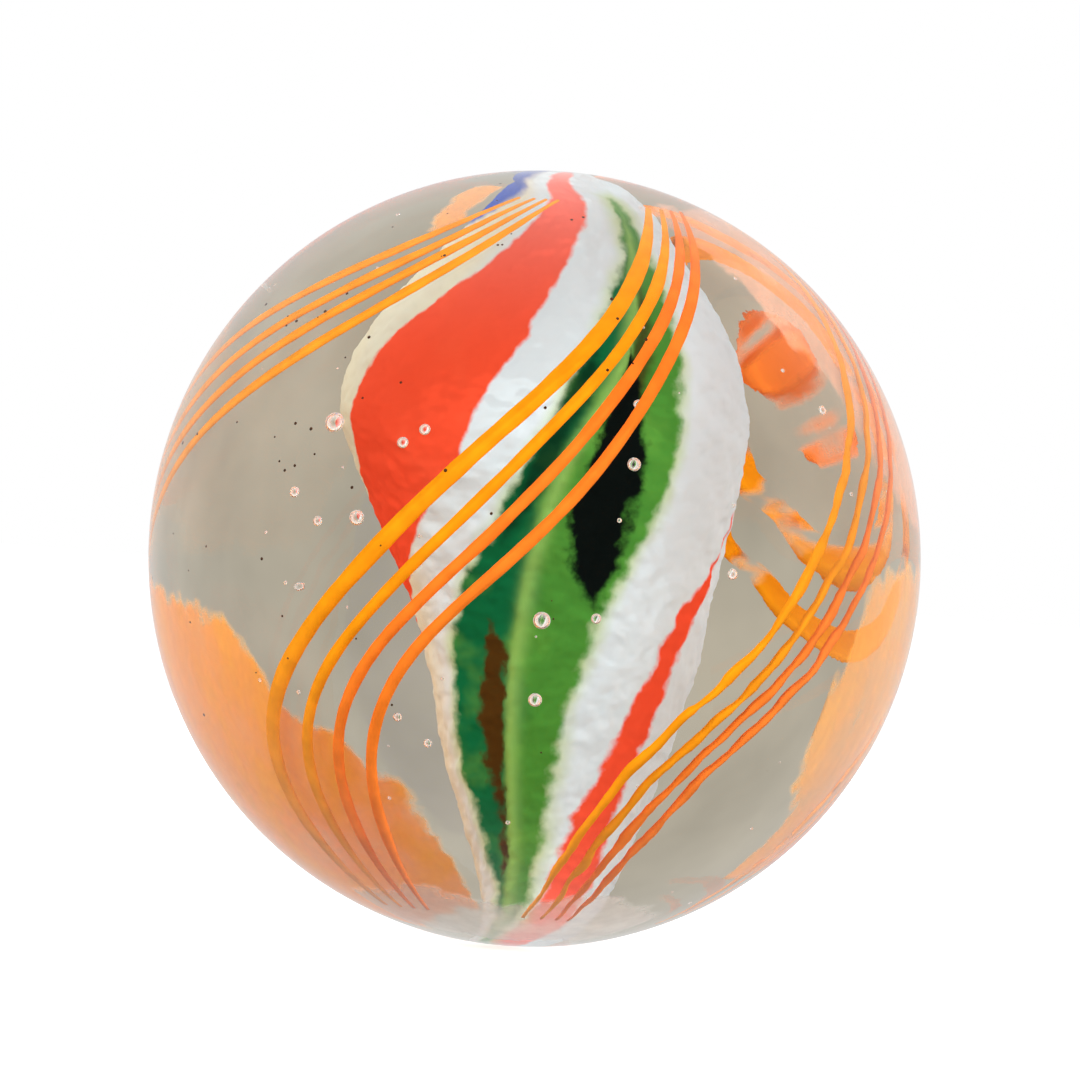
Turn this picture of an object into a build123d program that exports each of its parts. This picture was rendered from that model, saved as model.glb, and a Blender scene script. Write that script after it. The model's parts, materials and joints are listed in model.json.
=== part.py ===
from build123d import *
import math
import os

# A handmade swirl marble: a clear glass ball that holds a twisted, striped core and,
# just under its surface, six sets of four coloured strands.
# The origin is the middle of the ball. +Z runs along the swirl axis, from pole to pole,
# the front strands face -Y, and +X is to their right. Millimetres and degrees throughout.

# ---- clear glass ball ----
BALL_ACROSS = 38.0  # diameter at right angles to the swirl axis
BALL_ALONG = 38.2  # pole to pole, along the swirl axis

# ---- core: a spindle of striped glass on the swirl axis ----
CORE_END_COVER = 1.0  # clear glass between each end of the core and its pole
# How far along the core each round section lies (0 is the lower end, 1 the upper end),
# its radius, and how far its middle is shifted towards +X, because the core is bent.
CORE_SECTIONS = [
    (0.000, 0.95, 0.00),
    (0.105, 1.80, 0.85),
    (0.185, 2.30, 1.30),
    (0.265, 3.10, 1.20),
    (0.343, 3.90, 1.15),
    (0.422, 4.60, 1.10),
    (0.500, 5.40, 0.65),
    (0.563, 6.20, 0.25),
    (0.631, 6.75, -0.05),
    (0.684, 6.35, 0.00),
    (0.736, 5.35, 0.15),
    (0.815, 3.50, 0.30),
    (0.895, 2.10, 0.20),
    (1.000, 0.95, 0.00),
]

# ---- strands: threads of coloured glass laid just under the surface ----
STRAND_COVER = 0.65  # clear glass over a strand
STRAND_DEPTH = 0.55  # thickness of a strand, towards the middle of the ball
THREAD_WIDTH = 0.62  # width of an ordinary strand, along the surface
BOLD_WIDTH = 0.85  # width of the bold strand that leads the front set
STRAND_GAP = 0.05  # least clear glass between neighbours in a set
TIP_WIDTH = 0.30  # width of every strand at its two ends
TIP_DEPTH = 0.25  # thickness of every strand at its two ends
TAPER_ANGLE = 26  # degrees of latitude over which each end tapers
SECTIONS_PER_STRAND = 15
LANES = [0.0, 0.38, 0.69, 1.0]  # places of the four strands between a set's two edges

# Each set runs from its upper end to its lower end through these latitudes. Its middles are
# the longitudes of its middle line there, from 0 at -Y and rising towards +X, and its
# spreads are the degrees of longitude from its first strand to its last.
LATITUDES = [68, 60, 45, 30, 15, 0, -15, -30, -45, -60, -68]
SEEN_SETS = {
    "left": {
        "middles": [-5, -14, -33, -56, -76, -91, -103, -113, -118, -119, -119],
        "spreads": [14, 14, 20, 28, 24, 19, 18, 20, 20, 20, 20],
    },
    "front": {
        "middles": [43, 34, 23, 12, 0, -13, -27, -36, -38, -38, -37],
        "spreads": [16, 14, 13, 15, 19, 20, 19, 21, 21, 19, 18],
    },
    "right": {
        "middles": [92, 88, 78, 69, 60, 50, 39, 26, 19, 15, 14],
        "spreads": [16, 16, 16, 16, 15, 14, 14, 14, 14, 15, 16],
    },
}
# The sets round the back share one lean. For each, this gives the longitude where its
# middle line crosses the equator, and its spread there and everywhere else.
SHARED_LEAN = [50, 44, 33, 23, 11, 0, -12, -23, -28, -30, -31]
REAR_SETS = {"right_rear": (105, 16), "rear": (160, 12), "left_rear": (214, 20)}

SHELL_ACROSS = BALL_ACROSS / 2 - STRAND_COVER - STRAND_DEPTH / 2
SHELL_ALONG = BALL_ALONG / 2 - STRAND_COVER - STRAND_DEPTH / 2


def make_ball():
    """The solid ball: a half outline turned about the swirl axis."""
    outline = Plane.XZ * Ellipse(BALL_ACROSS / 2, BALL_ALONG / 2)
    right_half = Plane.XZ * Rectangle(BALL_ACROSS, BALL_ALONG * 2, align=(Align.MIN, Align.CENTER))
    return revolve(outline & right_half, axis=Axis.Z)


def make_core():
    """The striped core, from one pole's cover to the other's."""
    lower_end = CORE_END_COVER - BALL_ALONG / 2
    length = BALL_ALONG - 2 * CORE_END_COVER
    rounds = []
    for share, radius, shift in CORE_SECTIONS:
        rounds.append(Pos(shift, 0, lower_end + share * length) * Circle(radius))
    return loft(rounds)


def strand_point(latitude, longitude):
    """A point on the shell where the strands' middles lie."""
    up = math.radians(latitude)
    around = math.radians(longitude)
    reach = SHELL_ACROSS * math.cos(up)
    return Vector(reach * math.sin(around), -reach * math.cos(around), SHELL_ALONG * math.sin(up))


def fullness(latitude):
    """How far a strand has grown from its tip (0) to its full size (1) at a latitude."""
    return max(0.0, min(1.0, (LATITUDES[0] - abs(latitude)) / TAPER_ANGLE))


def least_spread(latitude, lean, widest):
    """Degrees of longitude that a set's strands need here, to keep the gap between neighbours.
    lean is the set's degrees of longitude for each degree of latitude."""
    closest = min(right - left for left, right in zip(LANES, LANES[1:]))
    width = TIP_WIDTH + (widest - TIP_WIDTH) * fullness(latitude)
    reach = SHELL_ACROSS * math.cos(math.radians(latitude))
    squareness = math.cos(math.atan(lean * math.cos(math.radians(latitude))))
    return math.degrees((width + STRAND_GAP) / (closest * squareness * reach))


def strand_paths(middles, spreads, widest):
    """The points of a set's strands: one list for each lane."""
    paths = [[] for _ in LANES]
    last = len(LATITUDES) - 1
    for place, latitude in enumerate(LATITUDES):
        before = max(place - 1, 0)
        after = min(place + 1, last)
        lean = (middles[after] - middles[before]) / (LATITUDES[after] - LATITUDES[before])
        spread = max(spreads[place], least_spread(latitude, lean, widest))
        for path, lane in zip(paths, LANES):
            path.append(strand_point(latitude, middles[place] + (lane - 0.5) * spread))
    return paths


def make_strand(points, width):
    """One strand: oval sections along its path, with a taper to each end."""
    path = Spline(*points)
    ovals = []
    for number in range(SECTIONS_PER_STRAND):
        share = number / (SECTIONS_PER_STRAND - 1)
        middle = path @ share
        along = path % share
        full = fullness(math.degrees(math.asin(middle.Z / SHELL_ALONG)))
        across = TIP_WIDTH + (width - TIP_WIDTH) * full
        through = TIP_DEPTH + (STRAND_DEPTH - TIP_DEPTH) * full
        section = Plane(middle, x_dir=along.cross(middle), z_dir=along)
        ovals.append(section * Ellipse(across / 2, through / 2))
    return loft(ovals)


def strand_sets():
    """Every set's middles and spreads, by name."""
    sets = dict(SEEN_SETS)
    for name, (crossing, spread) in REAR_SETS.items():
        sets[name] = {
            "middles": [crossing + lean for lean in SHARED_LEAN],
            "spreads": [spread] * len(LATITUDES),
        }
    return sets


def strand_widths(set_name):
    """The widths of a set's four strands."""
    widths = [THREAD_WIDTH] * len(LANES)
    if set_name == "front":
        widths[0] = BOLD_WIDTH
    return widths


def make_strands():
    """All the strands, by node name."""
    strands = {}
    for name, measures in strand_sets().items():
        widths = strand_widths(name)
        paths = strand_paths(**measures, widest=max(widths))
        for number, (points, width) in enumerate(zip(paths, widths), start=1):
            strands[f"{name}_strand_{number}"] = make_strand(points, width)
    return strands


core = make_core()
strands = make_strands()
nodes = {"clear_glass": make_ball() - [core, *strands.values()], "core": core, **strands}
os.makedirs("parts", exist_ok=True)
for name, solid in nodes.items():
    export_step(solid, f"parts/{name}.step")
    print(name, round(solid.volume, 3))
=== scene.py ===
import json
import math
import random

import bmesh
import bpy
import numpy as np
from mathutils import Matrix, Vector, noise
from mathutils.bvhtree import BVHTree


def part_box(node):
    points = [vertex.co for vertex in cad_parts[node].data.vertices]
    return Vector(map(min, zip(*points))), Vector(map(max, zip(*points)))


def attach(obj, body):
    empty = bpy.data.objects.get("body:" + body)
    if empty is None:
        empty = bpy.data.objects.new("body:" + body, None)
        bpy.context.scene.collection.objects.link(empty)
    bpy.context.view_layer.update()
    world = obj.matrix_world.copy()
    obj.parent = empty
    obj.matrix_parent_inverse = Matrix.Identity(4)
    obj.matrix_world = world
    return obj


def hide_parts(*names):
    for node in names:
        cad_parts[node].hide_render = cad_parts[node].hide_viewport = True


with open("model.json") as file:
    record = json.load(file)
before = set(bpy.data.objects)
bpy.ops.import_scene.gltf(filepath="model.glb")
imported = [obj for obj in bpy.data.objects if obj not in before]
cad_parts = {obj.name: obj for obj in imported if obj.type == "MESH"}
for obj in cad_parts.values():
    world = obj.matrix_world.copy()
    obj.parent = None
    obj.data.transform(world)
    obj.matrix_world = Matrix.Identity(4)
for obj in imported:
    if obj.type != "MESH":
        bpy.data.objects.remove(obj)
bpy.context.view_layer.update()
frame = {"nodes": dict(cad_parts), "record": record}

# A handmade swirl marble. +Z is the swirl axis, -Y faces the camera. Metres throughout.
MM = 0.001
BALL_LOW, BALL_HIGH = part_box("clear_glass")
HALF_ACROSS = (BALL_HIGH.x - BALL_LOW.x) / 2
HALF_ALONG = (BALL_HIGH.z - BALL_LOW.z) / 2
FLOOR_Z = BALL_LOW.z

# ---- camera: a long lens, level with the ball and rolled so that the swirl axis leans right ----
CAMERA_DISTANCE = 12 * HALF_ACROSS
CAMERA_ROLL = math.radians(4.5)
BALL_SHARE = 0.35787  # the ball's radius, as a share of the picture's width
SHIFT_RIGHT = 0.0051
SHIFT_UP = 0.0205
SENSOR = 36.0

# ---- colours, as they are seen, 0 to 255 ----
TAUPE = (178, 170, 152)
WHITE_GLASS = (216, 233, 239)
CREAM_GLASS = (226, 224, 196)
RED_GLASS = (244, 84, 52)
# painted haze: the paler red that the red band takes towards its top, standing for reflected light there
RED_WITH_PAINTED_TOP_HAZE = (248, 118, 100)
GREEN_GLASS = (72, 140, 52)
DEEP_GREEN_GLASS = (14, 104, 60)
LIGHT_GREEN_GLASS = (142, 190, 96)
BLACK_GLASS = (8, 14, 12)
BROWN_GLASS = (74, 50, 14)
BLUE_GLASS = (66, 96, 190)
YELLOW_GLASS = (252, 160, 18)
ORANGE_GLASS = (254, 134, 40)
GREYED_WHITE = (196, 204, 208)
BRIGHT_RED = (250, 98, 64)
YELLOWED_EDGE = (178, 206, 124)
LEAF_GREEN = (104, 168, 66)
# painted shade: the dark green of the shade band in the green groove
PAINTED_SHADE_GREEN = (6, 40, 24)
STEM_BROWN = (60, 40, 18)
PIT_COLOUR = (70, 48, 34)


def linear(colour):
    """A colour of 0 to 255 as Blender's linear values, with an alpha of 1."""
    out = []
    for value in colour:
        share = value / 255
        out.append(share / 12.92 if share <= 0.04045 else ((share + 0.055) / 1.055) ** 2.4)
    return (*out, 1.0)


def smooth_between(places, values, at):
    """Values along a line through a few points, rounded at the points."""
    fine = np.linspace(min(places), max(places), 400)
    rising = np.argsort(places)
    straight = np.interp(fine, np.array(places)[rising], np.array(values, float)[rising])
    soft = np.ones(17) / 17
    padded = np.pad(straight, 8, mode="reflect", reflect_type="odd")
    return np.interp(at, fine, np.convolve(padded, soft, mode="valid"))


# ---------------------------------------------------------------- node helpers
class Shader:
    """Builds one material's nodes."""

    def __init__(self, name):
        self.material = bpy.data.materials.new(name)
        self.material.use_nodes = True
        self.tree = self.material.node_tree
        self.tree.nodes.clear()
        self.output = self.tree.nodes.new("ShaderNodeOutputMaterial")

    def add(self, kind, settings=None, **inputs):
        """A node with its settings and inputs. An input is a value or another node's socket."""
        node = self.tree.nodes.new(kind)
        for key, value in (settings or {}).items():
            setattr(node, key, value)
        for key, value in inputs.items():
            self.set(node, key.replace("_", " "), value)
        return node

    def set(self, node, key, value):
        socket = node.inputs[int(key[1:])] if key[0] == "i" and key[1:].isdigit() else node.inputs[key]
        if isinstance(value, bpy.types.NodeSocket):
            self.tree.links.new(value, socket)
        else:
            socket.default_value = value

    def value(self, attribute):
        return self.add("ShaderNodeAttribute", {"attribute_name": attribute}).outputs["Fac"]

    def maths(self, operation, first, second=0.0):
        return self.add("ShaderNodeMath", {"operation": operation}, i0=first, i1=second).outputs[0]

    def noise(self, scale, detail=3.0, stretch=(1, 1, 1)):
        """Noise from about -1 to 1 in the object's own place. scale is in cells per metre."""
        place = self.add("ShaderNodeTexCoord").outputs["Object"]
        mapped = self.add("ShaderNodeMapping", Vector=place, Scale=stretch).outputs["Vector"]
        cloud = self.add("ShaderNodeTexNoise", Vector=mapped, Scale=scale, Detail=detail)
        return self.spread(cloud.outputs["Fac"])

    def spread(self, fac):
        """Moves 0 to 1 out to -1 to 1."""
        ramp = self.add("ShaderNodeMapRange", Value=fac)
        ramp.clamp = False
        ramp.inputs["From Min"].default_value = 0.25
        ramp.inputs["From Max"].default_value = 0.75
        ramp.inputs["To Min"].default_value = -1.0
        ramp.inputs["To Max"].default_value = 1.0
        return ramp.outputs["Result"]

    def step(self, value, low, high):
        """0 below low, 1 above high, and smooth between."""
        ramp = self.add("ShaderNodeMapRange", {"interpolation_type": "SMOOTHSTEP"}, Value=value)
        ramp.inputs["From Min"].default_value = low
        ramp.inputs["From Max"].default_value = high
        return ramp.outputs["Result"]

    def blend(self, share, below, above, kind="MIX"):
        mix = self.add("ShaderNodeMix", {"data_type": "RGBA", "blend_type": kind})
        for socket, value in ((mix.inputs[0], share), (mix.inputs[6], below), (mix.inputs[7], above)):
            if isinstance(value, bpy.types.NodeSocket):
                self.tree.links.new(value, socket)
            else:
                socket.default_value = value
        return mix.outputs[2]

    def lets_light_in(self, shader, tint):
        """The shader as it is seen, but open to the light from the lamps."""
        open_way = self.add("ShaderNodeBsdfTransparent", Color=tint)
        rays = self.add("ShaderNodeLightPath")
        return self.mixed(rays.outputs["Is Shadow Ray"], shader, open_way.outputs[0])

    def mixed(self, share, first, second):
        return self.add("ShaderNodeMixShader", i0=share, i1=first, i2=second).outputs[0]

    def finish(self, socket):
        self.tree.links.new(socket, self.output.inputs["Surface"])
        return self.material


def mesh_piece(name, points, faces, material, smooth=True):
    """A new object from points and faces."""
    mesh = bpy.data.meshes.new(name)
    mesh.from_pydata([tuple(p) for p in points], [], [tuple(f) for f in faces])
    mesh.update()
    mesh.polygons.foreach_set("use_smooth", [smooth] * len(mesh.polygons))
    mesh.materials.append(material)
    piece = bpy.data.objects.new(name, mesh)
    bpy.context.scene.collection.objects.link(piece)
    return piece


def set_attribute(piece, name, values):
    """Stores one number for each point of the piece's mesh."""
    layer = piece.data.attributes.new(name, "FLOAT", "POINT")
    layer.data.foreach_set("value", np.asarray(values, np.float32).ravel())


def loose_piece(name, shape, material, smooth=True):
    """A piece that stands for no CAD node, from a bmesh, which is freed."""
    mesh = bpy.data.meshes.new(name)
    shape.to_mesh(mesh)
    shape.free()
    mesh.polygons.foreach_set("use_smooth", [smooth] * len(mesh.polygons))
    mesh.materials.append(material)
    piece = bpy.data.objects.new(name, mesh)
    bpy.context.scene.collection.objects.link(piece)
    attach(piece, "root")


def on_sphere(around, up):
    """The direction of a longitude and a latitude in radians, from 0 at -Y and rising towards +X."""
    return Vector((math.sin(around) * math.cos(up), -math.cos(around) * math.cos(up), math.sin(up)))


def in_place(piece, node):
    """The piece stands for a CAD node and moves with the one body; the CAD node is hidden."""
    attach(piece, "root")
    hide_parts(node)


# ---------------------------------------------------------------- clear glass ball
BALL_CELLS = 92  # cells along each edge of the cube that is blown out into the ball
RIPPLE = 0.012 * MM  # how far the surface strays from true


def glass_material():
    s = Shader("clear_glass")
    fine = s.add("ShaderNodeTexNoise", Scale=900.0, Detail=3.0)
    s.tree.links.new(s.add("ShaderNodeTexCoord").outputs["Object"], fine.inputs["Vector"])
    bump = s.add("ShaderNodeBump", Strength=0.05, Distance=0.02 * MM, Height=fine.outputs["Fac"])
    glass = s.add("ShaderNodeBsdfPrincipled", Normal=bump.outputs["Normal"])
    glass.inputs["Base Color"].default_value = (1, 1, 1, 1)
    glass.inputs["Roughness"].default_value = 0.0
    glass.inputs["IOR"].default_value = 1.5
    glass.inputs["Transmission Weight"].default_value = 1.0
    glass.inputs["Specular IOR Level"].default_value = 0.12
    return s.finish(s.lets_light_in(glass.outputs[0], (0.96, 0.96, 0.95, 1)))


def make_ball():
    """A cube of fine square cells, blown out into the ball."""
    mesh = bmesh.new()
    bmesh.ops.create_grid(mesh, x_segments=BALL_CELLS, y_segments=BALL_CELLS, size=1.0)
    for vert in mesh.verts:
        vert.co = Vector((math.tan(vert.co.x * math.pi / 4), math.tan(vert.co.y * math.pi / 4), 1.0))
    side = [v.co.copy() for v in mesh.verts]
    cells = [[v.index for v in f.verts] for f in mesh.faces]
    mesh.free()
    whole = bmesh.new()
    turns = [Matrix.Rotation(math.radians(a), 3, "X") for a in (0, 90, 180, 270)]
    turns += [Matrix.Rotation(math.radians(a), 3, "Y") for a in (90, -90)]
    for turn in turns:
        verts = [whole.verts.new(turn @ p) for p in side]
        for cell in cells:
            whole.faces.new([verts[i] for i in cell])
    bmesh.ops.remove_doubles(whole, verts=whole.verts, dist=1e-5)
    whole.verts.index_update()
    points = []
    for vert in whole.verts:
        way = vert.co.normalized()
        ripple = RIPPLE * (noise.noise(way * 3.0) - 1.0)
        across = HALF_ACROSS + ripple
        points.append((way.x * across, way.y * across, way.z * (HALF_ALONG + ripple)))
    faces = [[v.index for v in f.verts] for f in whole.faces]
    whole.free()
    ball = mesh_piece("glass_ball", points, faces, glass_material())
    in_place(ball, "clear_glass")


# ---------------------------------------------------------------- striped core
CORE_RINGS = 380
CORE_SPOKES = 220

# Each band of the core: at each height, as a share of the ball's half height, the angles of
# its left and right edges in degrees, from 0 at the front, rising towards +X.
BANDS = {
    "red": [
        (0.95, -5, 30), (0.8, -12, 18), (0.7, -24, 14), (0.6, -40, 2), (0.5, -57, -8), (0.4, -72, -14),
        (0.3, -77, -22), (0.2, -80, -27), (0.13, -86, -36), (0.07, -97, -50), (0.0, -108, -64),
        (-0.07, -122, -82), (-0.2, -146, -112), (-0.35, -166, -146), (-0.5, -172, -172),
    ],
    "green": [
        (0.74, 50, 50), (0.7, 46, 54), (0.6, 39, 59), (0.55, 30, 60), (0.5, 21, 57), (0.4, 12, 51),
        (0.3, 5, 49), (0.2, -4, 46), (0.1, -15, 41), (0.0, -30, 31), (-0.1, -48, 18), (-0.2, -59, 11),
        (-0.3, -62, 6), (-0.4, -63, 1), (-0.5, -61, -4), (-0.6, -56, -10), (-0.7, -50, -16),
        (-0.8, -44, -24), (-0.95, -36, -30),
    ],
    "red_two": [
        (0.1, 97, 99), (0.03, 86, 90), (0.0, 77, 86), (-0.07, 62, 74), (-0.13, 52, 67), (-0.2, 47, 63),
        (-0.3, 38, 58), (-0.4, 29, 53), (-0.5, 18, 50), (-0.6, 8, 50), (-0.8, -14, 42), (-0.95, -30, 30),
    ],
    "blue": [
        (0.95, -120, -30), (0.75, -140, -58), (0.65, -152, -78), (0.6, -160, -100), (0.4, -190, -140),
        (0.2, -214, -168), (0.0, -236, -196), (-0.15, -250, -226), (-0.25, -246, -246),
    ],
    "black": [
        (0.42, 31, 31), (0.37, 29, 34), (0.33, 26, 36), (0.27, 22, 36), (0.2, 18, 36), (0.1, 10, 33),
        (0.0, 7, 27), (-0.05, 11, 20), (-0.09, 16, 16),
    ],
    "stem": [(0.55, 46, 46), (0.5, 40, 48), (0.42, 33, 42), (0.35, 28, 38), (0.3, 30, 32)],
    # The shade band is painted shade: a dark green along the left wall of the green band's groove.
    "shade": [(0.45, 17, 17), (0.38, 11, 18), (0.3, 5, 14), (0.2, -3, 5), (0.1, -12, -6), (0.02, -22, -20)],
    "brown": [
        (-0.12, -36, -34), (-0.17, -42, -29), (-0.25, -46, -28), (-0.35, -47, -32), (-0.45, -46, -36),
        (-0.6, -44, -42),
    ],
}
# The ridge that parts the light green from the deep green: heights and angles, as above.
RIDGE = [
    (0.6, 46), (0.4, 28), (0.2, 9), (0.05, -3), (-0.05, -12), (-0.2, -23), (-0.4, -27), (-0.6, -34),
    (-0.9, -50),
]
GROOVE_DEPTH = 0.45 * MM
RIDGE_HEIGHT = 0.30 * MM
ROUGHNESS_OF_CORE = 0.10 * MM


def wrapped(angle):
    """An angle brought to within half a turn of 0."""
    return (angle + 180) % 360 - 180


def band_inside(rows, height, angle, radius):
    """How far each point lies inside a band, in millimetres: below 0 is outside."""
    heights = [r[0] for r in rows]
    left = smooth_between(heights, [r[1] for r in rows], height)
    right = smooth_between(heights, [r[2] for r in rows], height)
    from_middle = np.abs(wrapped(angle - (left + right) / 2))
    inside = np.radians((right - left) / 2 - from_middle) * radius / MM
    beyond = np.maximum(height - max(heights), min(heights) - height) * HALF_ALONG / MM
    return np.minimum(inside, -beyond)


def core_rings():
    """The CAD core's surface, as rings of points about its own middle line."""
    low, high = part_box("core")
    tree = BVHTree.FromObject(frame["nodes"]["core"], bpy.context.evaluated_depsgraph_get())
    margin = 0.02 * MM
    rings = []
    for z in np.linspace(low.z + margin, high.z - margin, CORE_RINGS):
        sides = [tree.ray_cast(Vector((0, 0, z)), Vector((way, 0, 0)))[0].x for way in (-1, 1)]
        middle = Vector((sum(sides) / 2, 0, z))
        radius = (sides[1] - sides[0]) / 2
        rings.append((middle, radius))
    return rings


def core_material():
    s = Shader("core_glass")
    ragged = s.noise(1500.0, 4.0)
    coarse = s.noise(420.0, 3.0)
    patchy = s.noise(160.0, 2.0)

    def edge(name, wander, soft, fray=0.12):
        """A band's share, with an edge that wanders and frays."""
        inside = s.value(name)
        moved = s.maths("ADD", inside, s.maths("MULTIPLY", coarse, wander))
        moved = s.maths("ADD", moved, s.maths("MULTIPLY", ragged, fray))
        return s.step(moved, -soft, soft)

    height = s.value("height")
    body = s.blend(s.step(s.value("creamy"), 0.0, 1.0), linear(WHITE_GLASS), linear(CREAM_GLASS))
    body = s.blend(s.maths("MULTIPLY", s.step(patchy, -0.2, 1.0), 0.25), body, linear(GREYED_WHITE))
    # Painted light: the red band turns paler towards its top, standing for the haze of reflected light
    # there.
    red = s.blend(s.step(height, 0.35, 0.8), linear(RED_GLASS), linear(RED_WITH_PAINTED_TOP_HAZE))
    red = s.blend(s.maths("MULTIPLY", s.step(coarse, 0.0, 1.0), 0.35), red, linear(BRIGHT_RED))
    body = s.blend(edge("blue", 0.25, 0.35), body, linear(BLUE_GLASS))
    body = s.blend(edge("red", 0.10, 0.12), body, red)
    body = s.blend(edge("red_two", 0.18, 0.16, 0.2), body, linear(RED_GLASS))
    halo = s.step(s.maths("ADD", s.value("green"), s.maths("MULTIPLY", coarse, 0.35)), -0.75, 0.25)
    body = s.blend(s.maths("MULTIPLY", halo, 0.75), body, linear(YELLOWED_EDGE))
    past_ridge = s.maths("ADD", s.value("from_ridge"), s.maths("MULTIPLY", coarse, 0.5))
    tones = s.blend(s.step(past_ridge, -0.6, 0.6), linear(DEEP_GREEN_GLASS), linear(GREEN_GLASS))
    tones = s.blend(s.maths("MULTIPLY", s.step(coarse, -0.1, 1.0), 0.55), tones, linear(LEAF_GREEN))
    tones = s.blend(s.maths("MULTIPLY", s.value("on_ridge"), 0.8), tones, linear(LIGHT_GREEN_GLASS))
    body = s.blend(edge("green", 0.16, 0.22, 0.2), body, tones)
    # Painted shade: dark green laid along the left wall of the green groove.
    body = s.blend(s.maths("MULTIPLY", edge("shade", 0.2, 0.35), 0.85), body, linear(PAINTED_SHADE_GREEN))
    body = s.blend(s.maths("MULTIPLY", edge("stem", 0.2, 0.3), 0.8), body, linear(STEM_BROWN))
    body = s.blend(edge("black", 0.28, 0.22, 0.3), body, linear(BLACK_GLASS))
    body = s.blend(edge("brown", 0.22, 0.2, 0.35), body, linear(BROWN_GLASS))
    glass = s.add("ShaderNodeBsdfPrincipled")
    s.set(glass, "Base Color", body)
    glass.inputs["Roughness"].default_value = 0.6
    glass.inputs["Specular IOR Level"].default_value = 0.0
    return s.finish(glass.outputs[0])


def make_core():
    """The CAD core with its groove and ridges, and the places of its bands."""
    rings = core_rings()
    angles = np.linspace(-180, 180, CORE_SPOKES, endpoint=False)
    height = np.repeat([ring[0].z / HALF_ALONG for ring in rings], CORE_SPOKES)
    radius = np.repeat([ring[1] for ring in rings], CORE_SPOKES)
    middle = np.repeat([ring[0].x for ring in rings], CORE_SPOKES)
    angle = np.tile(angles, len(rings))
    inside = {name: band_inside(rows, height, angle, radius) for name, rows in BANDS.items()}
    ridge_angle = smooth_between([r[0] for r in RIDGE], [r[1] for r in RIDGE], height)
    from_ridge = np.radians(wrapped(angle - ridge_angle)) * radius / MM
    on_ridge = np.exp(-((from_ridge / 0.35) ** 2))
    groove = np.clip(inside["green"] / 1.2, 0, 1)
    deep = np.clip(inside["black"] / 0.8, 0, 1)
    relief = -GROOVE_DEPTH * groove * np.clip(radius / (3 * MM), 0, 1) - 0.3 * MM * deep
    relief += RIDGE_HEIGHT * on_ridge * groove
    around = np.radians(angle)
    out = np.stack([np.sin(around), -np.cos(around)], 1)
    rough = np.empty(len(angle))
    for i in range(len(angle)):
        spot = Vector((out[i, 0] * radius[i], out[i, 1] * radius[i], height[i] * HALF_ALONG)) / (0.9 * MM)
        rough[i] = noise.fractal(spot, 0.6, 2.0, 3)
    size = radius + relief + ROUGHNESS_OF_CORE * rough
    points = np.stack([middle + out[:, 0] * size, out[:, 1] * size, height * HALF_ALONG], 1)
    faces = []
    for ring in range(len(rings) - 1):
        for spoke in range(CORE_SPOKES):
            after = (spoke + 1) % CORE_SPOKES
            here = ring * CORE_SPOKES
            above = here + CORE_SPOKES
            faces.append((here + spoke, here + after, above + after, above + spoke))
    faces.append(tuple(reversed(range(CORE_SPOKES))))
    faces.append(tuple(range(len(points) - CORE_SPOKES, len(points))))
    core = mesh_piece("striped_core", points, faces, core_material())
    for name, values in inside.items():
        set_attribute(core, name, values)
    set_attribute(core, "height", height)
    set_attribute(core, "from_ridge", from_ridge)
    set_attribute(core, "on_ridge", on_ridge * np.clip(inside["green"] / 0.3, 0, 1))
    creamy = np.clip((-angle - 50 + 30 * height) / 30, 0, 1) * (np.abs(angle) < 135)
    set_attribute(core, "creamy", creamy)
    in_place(core, "core")


# ---------------------------------------------------------------- strands
STRAND_STATIONS = 150
STRAND_RING = 12
LINE_SLICES = 45  # level slices of the CAD strand that its middle line is read from
STRAND_COLOURS = {"yellow_glass": YELLOW_GLASS, "orange_glass": ORANGE_GLASS}
HALF_WIDTH = 0.28 * MM
# Where the strands of a set, or one strand, are of another width.
HALF_WIDTHS = {
    "front_strand_1": 0.40 * MM, "left": 0.27 * MM, "right": 0.22 * MM,
    "rear": 0.15 * MM, "left_rear": 0.24 * MM,
}
BROKEN_SETS = ("right_rear", "rear", "left_rear")  # laid thin and ragged, with clear breaks
HALF_THICKNESS = 0.27 * MM
# How unevenly each set was laid: how far its strands' width and line stray, as shares of the
# width, and how far apart the swells are.
UNEVENNESS = {
    "left": (0.10, 0.06, 2.6 * MM), "front": (0.06, 0.04, 2.8 * MM), "right": (0.32, 0.45, 1.4 * MM),
    "right_rear": (0.25, 0.50, 1.4 * MM), "rear": (0.40, 0.90, 0.9 * MM),
    "left_rear": (0.30, 0.30, 1.2 * MM),
}


def strand_material(slot, broken):
    s = Shader("broken_" + slot if broken else slot)
    streak = s.noise(900.0, 3.0)
    base = linear(STRAND_COLOURS[slot])
    deep = tuple(c * 0.80 for c in base[:3]) + (1.0,)
    colour = s.blend(s.step(streak, -1.0, 1.0), deep, base)
    glass = s.add("ShaderNodeBsdfPrincipled")
    s.set(glass, "Base Color", colour)
    glass.inputs["Roughness"].default_value = 0.5
    glass.inputs["Specular IOR Level"].default_value = 0.0
    if not broken:
        return s.finish(glass.outputs[0])
    clear = s.add("ShaderNodeBsdfTransparent")
    holes = s.maths("ADD", s.noise(330.0, 2.0), s.maths("MULTIPLY", s.noise(1300.0, 2.0), 0.5))
    return s.finish(s.mixed(s.step(holes, -0.50, -0.05), clear.outputs[0], glass.outputs[0]))


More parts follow.
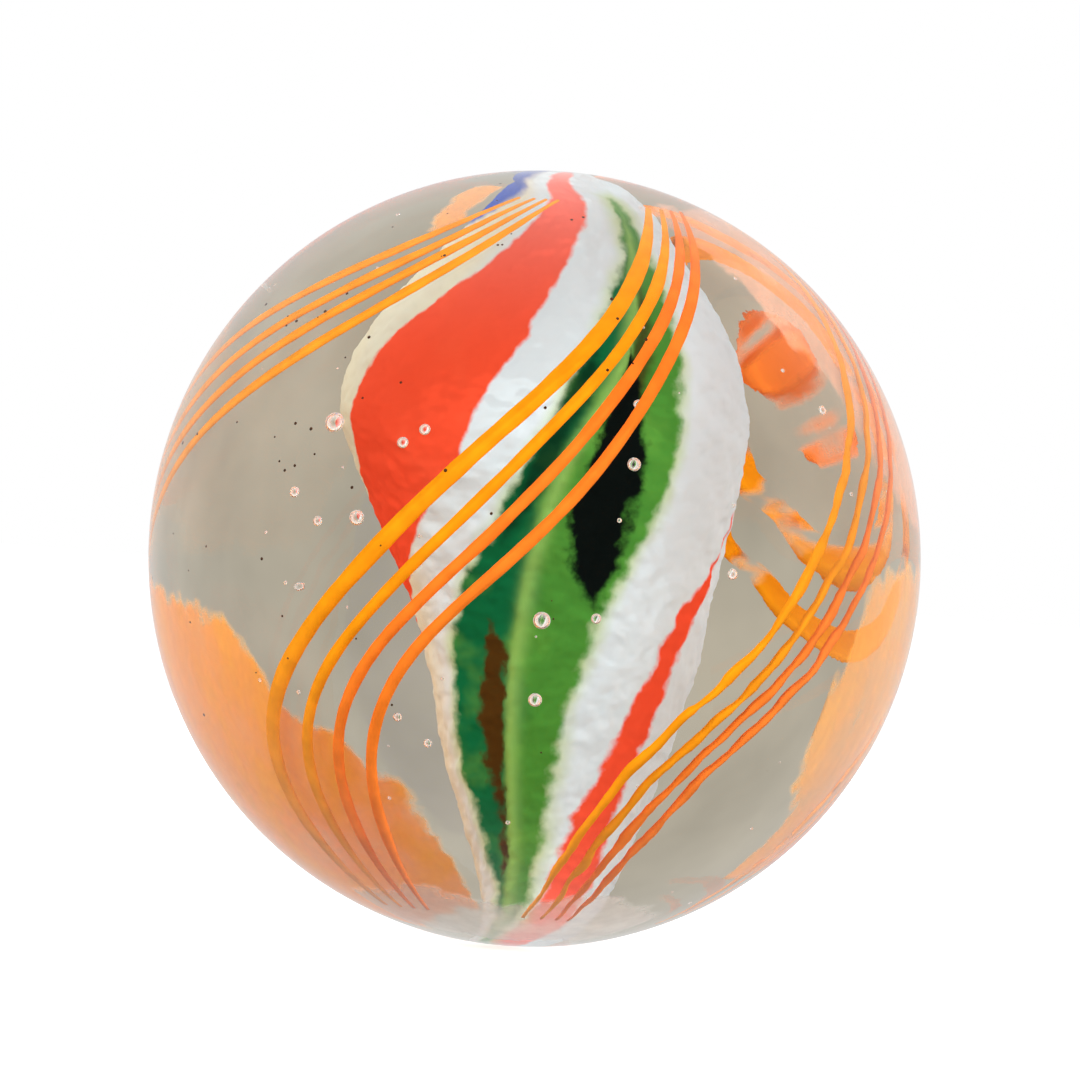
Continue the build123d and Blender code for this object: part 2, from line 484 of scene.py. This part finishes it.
def strand_line(node):
    """The middle line of a CAD strand, as points from its lower tip to its upper one."""
    mesh = frame["nodes"][node].data
    points = np.empty(len(mesh.vertices) * 3)
    mesh.vertices.foreach_get("co", points)
    points = points.reshape(-1, 3)
    z = points[:, 2]
    levels = np.linspace(z.min(), z.max(), LINE_SLICES + 1)
    line = []
    for low, high in zip(levels, levels[1:]):
        slice_points = points[(z >= low) & (z <= high)]
        line.append((slice_points.min(0) + slice_points.max(0)) / 2)
    return np.array(line)


def resample(line, count):
    """The line as count points, evenly spaced, with its small wobbles smoothed out."""
    for _ in range(3):
        line[1:-1] = (line[:-2] + 2 * line[1:-1] + line[2:]) / 4
    steps = np.linalg.norm(np.diff(line, axis=0), axis=1)
    along = np.concatenate([[0], np.cumsum(steps)])
    at = np.linspace(0, along[-1], count)
    return np.stack([np.interp(at, along, line[:, k]) for k in range(3)], 1), along[-1]


def make_strand(node, material, seed):
    """One strand: ovals along the CAD strand's middle line, laid a little unevenly."""
    family = node.rsplit("_strand_", 1)[0]
    width_stray, line_stray, pitch = UNEVENNESS[family]
    line, length = resample(strand_line(node), STRAND_STATIONS)
    half_width = HALF_WIDTHS.get(node, HALF_WIDTHS.get(family, HALF_WIDTH))
    points = []
    for i, centre in enumerate(line):
        along = Vector(line[min(i + 1, len(line) - 1)] - line[max(i - 1, 0)]).normalized()
        out = Vector(centre).normalized()
        side = along.cross(out).normalized()
        share = i / (len(line) - 1)
        taper = min(1.0, 0.35 + min(share, 1 - share) / 0.2)
        place = Vector((share * length / pitch, seed * 7.3, 0))
        swell = 1 + width_stray * noise.noise(place) * 2 + width_stray * noise.noise(place * 3)
        stray = line_stray * half_width * 2 * noise.noise(place * 0.8 + Vector((0, 3, 5)))
        for k in range(STRAND_RING):
            turn = 2 * math.pi * k / STRAND_RING
            across = math.cos(turn) * half_width * taper * swell + stray
            through = math.sin(turn) * HALF_THICKNESS * taper
            points.append(Vector(centre) + side * across + out * through)
    faces = []
    for ring in range(STRAND_STATIONS - 1):
        for k in range(STRAND_RING):
            after = (k + 1) % STRAND_RING
            here = ring * STRAND_RING
            above = here + STRAND_RING
            faces.append((here + k, here + after, above + after, above + k))
    faces.append(tuple(reversed(range(STRAND_RING))))
    faces.append(tuple(range(len(points) - STRAND_RING, len(points))))
    strand = mesh_piece(node.replace("strand", "thread"), points, faces, material)
    in_place(strand, node)


def make_strands():
    whole = {slot: strand_material(slot, False) for slot in STRAND_COLOURS}
    broken = {slot: strand_material(slot, True) for slot in STRAND_COLOURS}
    seed = 0
    for part in frame["record"]["subparts"]:
        node, slot = part["node"], part["material_slot"]
        if "_strand_" in node:
            seed += 1
            materials = broken if node.startswith(BROKEN_SETS) else whole
            make_strand(node, materials[slot], seed)


# ---------------------------------------------------------------- smears of strand glass
# Thin smears of glass just under the surface. Each has its slot, its colour, its depth in
# millimetres, how solid it is, and its outline as longitudes and latitudes.
SMEARS = {
    "lower_left_smear": (
        "orange_glass", (255, 178, 74), 1.9, 0.86,
        [(-96, -4), (-78, -9), (-62, -10), (-51, -15), (-47, -22), (-38, -28), (-29, -33),
         (-22, -38), (-15, -50), (-10, -66), (-60, -78), (-110, -60)],
    ),
    "upper_right_smear": (
        "orange_glass", (250, 172, 138), 1.6, 0.30,
        [(30, 68), (44, 52), (50, 40), (58, 30), (66, 16), (84, 8), (98, 20), (100, 50), (80, 70)],
    ),
    "lower_right_smear": (
        "orange_glass", (250, 178, 84), 1.7, 0.62,
        [(62, 2), (57, -10), (55, -22), (58, -30), (63, -40), (64, -52), (85, -48), (100, -20), (92, 4)],
    ),
    "bottom_smear": (
        "clear_glass", (238, 232, 226), 1.45, 0.55,
        [(-60, -64), (-30, -60), (0, -63), (30, -58), (60, -62), (60, -76), (0, -80), (-60, -76)],
    ),
    "top_left_smear": (
        "orange_glass", (250, 170, 90), 1.6, 0.6,
        [(-44, 70), (-40, 62), (-34, 55), (-29, 56), (-30, 64), (-30, 72)],
    ),
}
SMEAR_THICKNESS = 0.08 * MM
SMEAR_CELL = 0.8  # degrees
SMEAR_FRINGE = 3  # degrees that the skin runs on past its outline, so that its edge can fray


def depth_inside(lon, lat, outline):
    """How far a point lies inside a closed outline, in degrees: below 0 is outside."""
    inside = np.zeros(lon.shape, bool)
    nearest = np.full(lon.shape, 1e9)
    for (ax, ay), (bx, by) in zip(outline, outline[1:] + outline[:1]):
        crosses = (ay > lat) != (by > lat)
        if ay != by:
            inside ^= crosses & (lon < (bx - ax) * (lat - ay) / (by - ay) + ax)
        east, north = bx - ax, by - ay
        share = np.clip(((lon - ax) * east + (lat - ay) * north) / (east**2 + north**2), 0, 1)
        nearest = np.minimum(nearest, np.hypot(lon - ax - share * east, lat - ay - share * north))
    return np.where(inside, nearest, -nearest)


def smear_material(name, colour, solidity):
    s = Shader(name)
    streaks = s.noise(260.0, 4.0, (1.6, 1.6, 0.35))
    ragged = s.noise(900.0, 4.0)
    inside = s.maths("ADD", s.value("inside"), s.maths("MULTIPLY", streaks, 2.6))
    inside = s.maths("ADD", inside, s.maths("MULTIPLY", ragged, 1.2))
    cover = s.step(inside, -0.8, 1.6)
    body = s.maths("ADD", solidity, s.maths("MULTIPLY", streaks, 0.22))
    pale = tuple(min(255, c + 22) for c in colour)
    tint = s.blend(s.step(streaks, -0.6, 1.0), linear(colour), linear(pale))
    matt = s.add("ShaderNodeBsdfDiffuse")
    s.set(matt, "Color", tint)
    clear = s.add("ShaderNodeBsdfTransparent")
    return s.finish(s.mixed(s.maths("MULTIPLY", cover, body), clear.outputs[0], matt.outputs[0]))


def make_smear(name, slot, colour, depth, solidity, outline):
    """A thin closed skin of glass that follows the ball's surface."""
    west, east = min(p[0] for p in outline), max(p[0] for p in outline)
    south, north = min(p[1] for p in outline), max(p[1] for p in outline)
    columns = int((east - west) / SMEAR_CELL) + 2
    rows = int((north - south) / SMEAR_CELL) + 2
    lon, lat = np.meshgrid(np.linspace(west, east, columns), np.linspace(south, north, rows))
    inside = depth_inside(lon, lat, outline)
    near = inside > -SMEAR_FRINGE
    keep = near[:-1, :-1] & near[1:, :-1] & near[:-1, 1:] & near[1:, 1:]
    mesh = bmesh.new()
    layer = mesh.verts.layers.float.new("inside")
    made = {}
    for row, column in zip(*np.nonzero(keep)):
        corners = ((row, column), (row, column + 1), (row + 1, column + 1), (row + 1, column))
        for spot in corners:
            if spot not in made:
                way = on_sphere(math.radians(lon[spot]), math.radians(lat[spot]))
                made[spot] = mesh.verts.new(way * (HALF_ACROSS - depth * MM))
                made[spot][layer] = inside[spot]
        mesh.faces.new([made[spot] for spot in corners])
    bmesh.ops.solidify(mesh, geom=mesh.faces[:], thickness=SMEAR_THICKNESS)
    loose_piece(name, mesh, smear_material(name, colour, solidity))


def make_smears():
    for name, settings in SMEARS.items():
        make_smear(name, *settings)


# ---------------------------------------------------------------- seed bubbles
# Longitude, latitude, depth and diameter of each large bubble, degrees and millimetres.
BUBBLES = [
    (16, 26, 3.0, 0.45), (15, 16, 3.0, 0.60), (2, -10, 4.0, 0.75), (11, -9, 4.0, 0.45),
    (2, -23, 3.5, 0.60), (-24, 17, 3.5, 0.50), (-20, 19, 3.0, 0.50), (-39, 7, 1.5, 0.50),
    (-34, 3, 1.5, 0.45), (-28, 4, 2.0, 0.70), (-37, 19, 3.0, 0.90), (30, 0, 1.2, 0.50),
    (52, 26, 1.5, 0.45), (-16, -30, 2.0, 0.40), (-21, -26, 2.0, 0.40),
]
SMALL_BUBBLES = 90
PITS = 70
PIT_DEPTH = 0.3 * MM


def bubble_material():
    s = Shader("seed_bubble")
    gas = s.add("ShaderNodeBsdfGlass", Color=(1, 1, 1, 1), Roughness=0.0, IOR=0.8)
    # Painted reflection: a white matt rim, mixed in where the bubble's surface turns edge-on, stands for
    # the light its edge reflects.
    painted_rim_white = s.add("ShaderNodeBsdfDiffuse", Color=(0.9, 0.9, 0.88, 1))
    rim = s.add("ShaderNodeLayerWeight", Blend=0.35)
    painted_rim_reflection = s.maths("MULTIPLY", rim.outputs["Facing"], 0.9)
    seen = s.mixed(painted_rim_reflection, gas.outputs[0], painted_rim_white.outputs[0])
    return s.finish(s.lets_light_in(seen, (1, 1, 1, 1)))


def make_pits():
    """Dark specks in the skin of the ball, most of them high on the left."""
    s = Shader("surface_pit")
    dark = s.add("ShaderNodeBsdfDiffuse", Color=linear(PIT_COLOUR))
    dark = s.finish(dark.outputs[0])
    rng = random.Random(41)
    whole = bmesh.new()
    for _ in range(PITS):
        around, up = math.radians(rng.gauss(-38, 28)), math.radians(rng.gauss(22, 24))
        way = on_sphere(around, up)
        width = rng.uniform(0.08, 0.20) * MM
        place = Matrix.Translation(way * (HALF_ACROSS - PIT_DEPTH))
        bmesh.ops.create_icosphere(whole, subdivisions=1, radius=width / 2, matrix=place)
    loose_piece("surface_pits", whole, dark, smooth=False)


def make_bubbles():
    """All the bubbles as one piece of small closed balls."""
    rng = np.random.default_rng(7)
    spots = [(math.radians(a), math.radians(b), d * MM, w * MM) for a, b, d, w in BUBBLES]
    for _ in range(SMALL_BUBBLES):
        up = math.asin(rng.uniform(-0.9, 0.9))
        around = rng.uniform(0, 2 * math.pi)
        depth = rng.uniform(0.9, 6.0) * MM
        spots.append((around, up, depth, rng.uniform(0.08, 0.22) * MM))
    whole = bmesh.new()
    for around, up, depth, width in spots:
        place = Matrix.Translation(on_sphere(around, up) * (HALF_ACROSS - depth))
        level = 3 if width > 0.3 * MM else 2
        bmesh.ops.create_icosphere(whole, subdivisions=level, radius=width / 2, matrix=place)
    loose_piece("seed_bubbles", whole, bubble_material())


# ---------------------------------------------------------------- stage, lights, camera
FLOOR_HALF = 3.0
LAMP_DISTANCE = 0.25
# Each lamp: name, direction it stands in, watts, and width as a share of its distance.
LAMPS = [
    ("front_left_lamp", (-0.8, -1.0, 0.7), 0.95, 1.0),
    ("front_right_lamp", (0.9, -0.9, 0.4), 0.92, 1.0),
    ("rear_lamp", (0.1, 1.0, 0.6), 0.90, 1.2),
]


def make_floor():
    s = Shader("floor")
    matt = s.add("ShaderNodeBsdfDiffuse", Color=(0.92, 0.92, 0.92, 1))
    glow = s.add("ShaderNodeEmission", Color=(1, 1, 1, 1), Strength=0.25)
    seen = s.add("ShaderNodeAddShader", i0=matt.outputs[0], i1=glow.outputs[0])
    corners = [(x * FLOOR_HALF, y * FLOOR_HALF, FLOOR_Z) for x, y in ((-1, -1), (1, -1), (1, 1), (-1, 1))]
    floor = mesh_piece("floor", corners, [(0, 1, 2, 3)], s.finish(seen.outputs[0]), smooth=False)
    floor.visible_glossy = False
    floor.visible_transmission = False
    floor.visible_shadow = False


def straight_through(add, link):
    """1 for a ray that left the glass before it was scattered by anything matt, and 0 for the rest."""
    rays = add("ShaderNodeLightPath")
    unlit = add("ShaderNodeMath")
    unlit.operation = "LESS_THAN"
    unlit.inputs[1].default_value = 0.5
    link(rays.outputs["Diffuse Depth"], unlit.inputs[0])
    both = add("ShaderNodeMath")
    both.operation = "MULTIPLY"
    link(rays.outputs["Is Transmission Ray"], both.inputs[0])
    link(unlit.outputs[0], both.inputs[1])
    return both.outputs[0]


def make_world():
    """A white room, with a dark side to reflect, and taupe where it is seen through the glass."""
    world = bpy.data.worlds.new("room")
    world.use_nodes = True
    tree = world.node_tree
    tree.nodes.clear()
    add, link = tree.nodes.new, tree.links.new
    room = add("ShaderNodeBackground")
    room.inputs["Color"].default_value = (1, 1, 1, 1)
    # Reflections: the room is dark on the -Y side and pale on the +Y side.
    way = add("ShaderNodeSeparateXYZ")
    link(add("ShaderNodeTexCoord").outputs["Generated"], way.inputs[0])
    paleness = add("ShaderNodeMapRange")
    paleness.interpolation_type = "SMOOTHSTEP"
    paleness.inputs["From Min"].default_value = -0.5
    paleness.inputs["From Max"].default_value = 0.8
    paleness.inputs["To Min"].default_value = 0.05
    link(way.outputs["Y"], paleness.inputs["Value"])
    mirrored = add("ShaderNodeBackground")
    link(paleness.outputs[0], mirrored.inputs["Strength"])
    # Through the glass: taupe, a little uneven.
    cloud = add("ShaderNodeTexNoise")
    cloud.inputs["Scale"].default_value = 3.0
    cloud.inputs["Detail"].default_value = 3.0
    level = add("ShaderNodeMapRange")
    level.inputs["From Min"].default_value = 0.3
    level.inputs["From Max"].default_value = 0.7
    level.inputs["To Min"].default_value = 0.82
    level.inputs["To Max"].default_value = 1.12
    link(cloud.outputs["Fac"], level.inputs["Value"])
    taupe = add("ShaderNodeBackground")
    taupe.inputs["Color"].default_value = linear(TAUPE)
    link(level.outputs[0], taupe.inputs["Strength"])
    output = add("ShaderNodeOutputWorld")
    rays = add("ShaderNodeLightPath")
    by_gloss = add("ShaderNodeMixShader")
    link(rays.outputs["Is Glossy Ray"], by_gloss.inputs[0])
    link(room.outputs[0], by_gloss.inputs[1])
    link(mirrored.outputs[0], by_gloss.inputs[2])
    by_glass = add("ShaderNodeMixShader")
    link(straight_through(add, link), by_glass.inputs[0])
    link(by_gloss.outputs[0], by_glass.inputs[1])
    link(taupe.outputs[0], by_glass.inputs[2])
    link(by_glass.outputs[0], output.inputs["Surface"])
    bpy.context.scene.world = world


def make_lamps():
    for name, way, watts, width in LAMPS:
        light = bpy.data.lights.new(name, "AREA")
        light.energy = watts
        light.size = width * LAMP_DISTANCE
        lamp = bpy.data.objects.new(name, light)
        lamp.location = Vector(way).normalized() * LAMP_DISTANCE
        lamp.rotation_euler = Vector(way).to_track_quat("Z", "Y").to_euler()
        lamp.visible_transmission = False
        lamp.visible_glossy = False
        lamp.visible_camera = False
        bpy.context.scene.collection.objects.link(lamp)


def make_camera():
    data = bpy.data.cameras.new("camera")
    data.sensor_width = SENSOR
    silhouette = 1 / math.sqrt((CAMERA_DISTANCE / HALF_ACROSS) ** 2 - 1)
    data.lens = BALL_SHARE / silhouette * SENSOR
    data.shift_x = SHIFT_RIGHT
    data.shift_y = SHIFT_UP
    data.clip_start = 0.001
    data.clip_end = 50
    camera = bpy.data.objects.new("camera", data)
    right = Vector((math.cos(CAMERA_ROLL), 0, math.sin(CAMERA_ROLL)))
    up = Vector((-math.sin(CAMERA_ROLL), 0, math.cos(CAMERA_ROLL)))
    back = right.cross(up)
    turned = Matrix((right, up, back)).transposed().to_4x4()
    camera.matrix_world = Matrix.Translation((0, -CAMERA_DISTANCE, 0)) @ turned
    bpy.context.scene.collection.objects.link(camera)
    bpy.context.scene.camera = camera


make_camera()
make_floor()
make_world()
make_lamps()
make_ball()
make_core()
make_strands()
make_smears()
make_pits()
make_bubbles()
bpy.context.scene.view_settings.view_transform = "Standard"
bpy.context.scene.cycles.diffuse_bounces = 3

bpy.context.view_layer.update()
